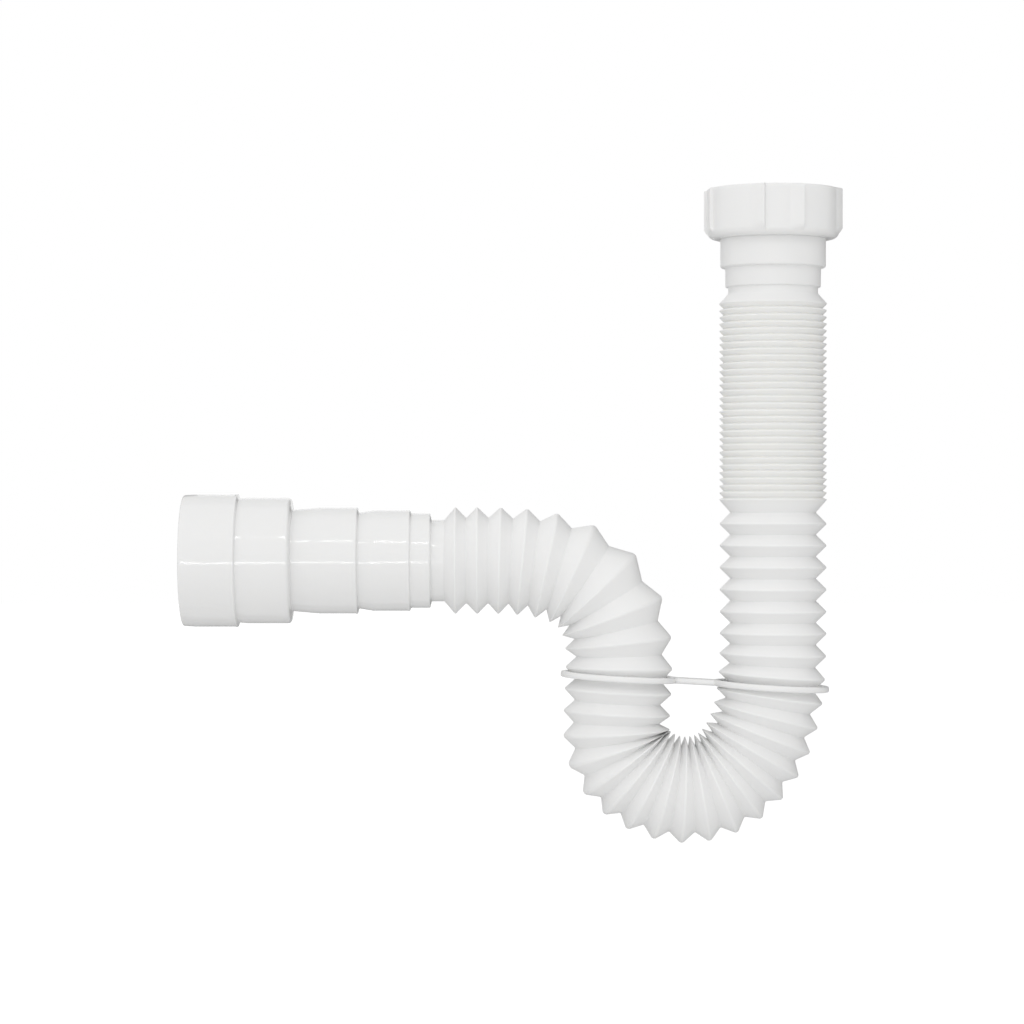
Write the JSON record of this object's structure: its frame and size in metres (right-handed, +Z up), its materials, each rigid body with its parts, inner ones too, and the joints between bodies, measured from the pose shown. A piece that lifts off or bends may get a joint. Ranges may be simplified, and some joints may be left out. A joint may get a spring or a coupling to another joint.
{
  "type": "flexible sink trap",
  "caption": "Flexible sink trap: a pleated white hose bent into a U, with a ribbed coupling nut on its inlet and a stepped outlet cuff.",
  "frame": {"origin": "centre of the coupling nut's top rim, on the inlet's axis, where the trap hangs from the sink waste", "axes": "+Z up out of the inlet along the nut's axis; the hose runs down, round its U and out along -X to the outlet cuff"},
  "size_m": [0.2553, 0.0536, 0.2534],
  "materials": {
    "white_hose_plastic": "satin moulded polypropylene",
    "white_nut_plastic": "satin moulded polypropylene",
    "white_clip_plastic": "satin moulded polypropylene",
    "washer_rubber": "matte moulded rubber"
  },
  "bodies": {
    "trap": {"corrugated_hose": "white_hose_plastic", "u_bend_clip": "white_clip_plastic"},
    "inlet_end": {"inlet_washer": "washer_rubber"},
    "coupling": {"inlet_nut": "white_nut_plastic"}
  },
  "joints": [
    {"name": "inlet_stretch", "type": "slide", "parent": "trap", "child": "inlet_end", "axis": [0, 0, 1], "range_m": [0, 0.17], "deforming": ["corrugated_hose"]},
    {"name": "nut_spin", "type": "hinge", "parent": "inlet_end", "child": "coupling", "pos_m": [0, 0, -0.01], "axis": [0, 0, 1], "continuous": true}
  ]
}
